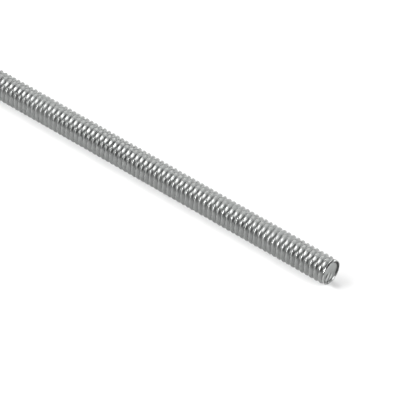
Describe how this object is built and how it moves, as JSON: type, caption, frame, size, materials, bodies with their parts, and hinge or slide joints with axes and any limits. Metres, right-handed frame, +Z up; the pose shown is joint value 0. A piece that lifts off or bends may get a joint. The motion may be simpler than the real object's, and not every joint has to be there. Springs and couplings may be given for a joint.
{
  "type": "threaded rod",
  "caption": "Short length of fully threaded steel rod with a right-hand thread and shallow cups in both cut ends.",
  "frame": {"origin": "On the surface that the rod lies on, under the middle of its length", "axes": "+X along the rod's axis, out of the end face named end_a; +Z up from the surface that it lies on"},
  "size_m": [0.1016, 0.0062, 0.0062],
  "materials": {
    "zinc_steel": "bright zinc plate over a rolled thread, a little dull in the roots"
  },
  "bodies": {
    "root": {"rod": "zinc_steel"}
  },
  "joints": []
}
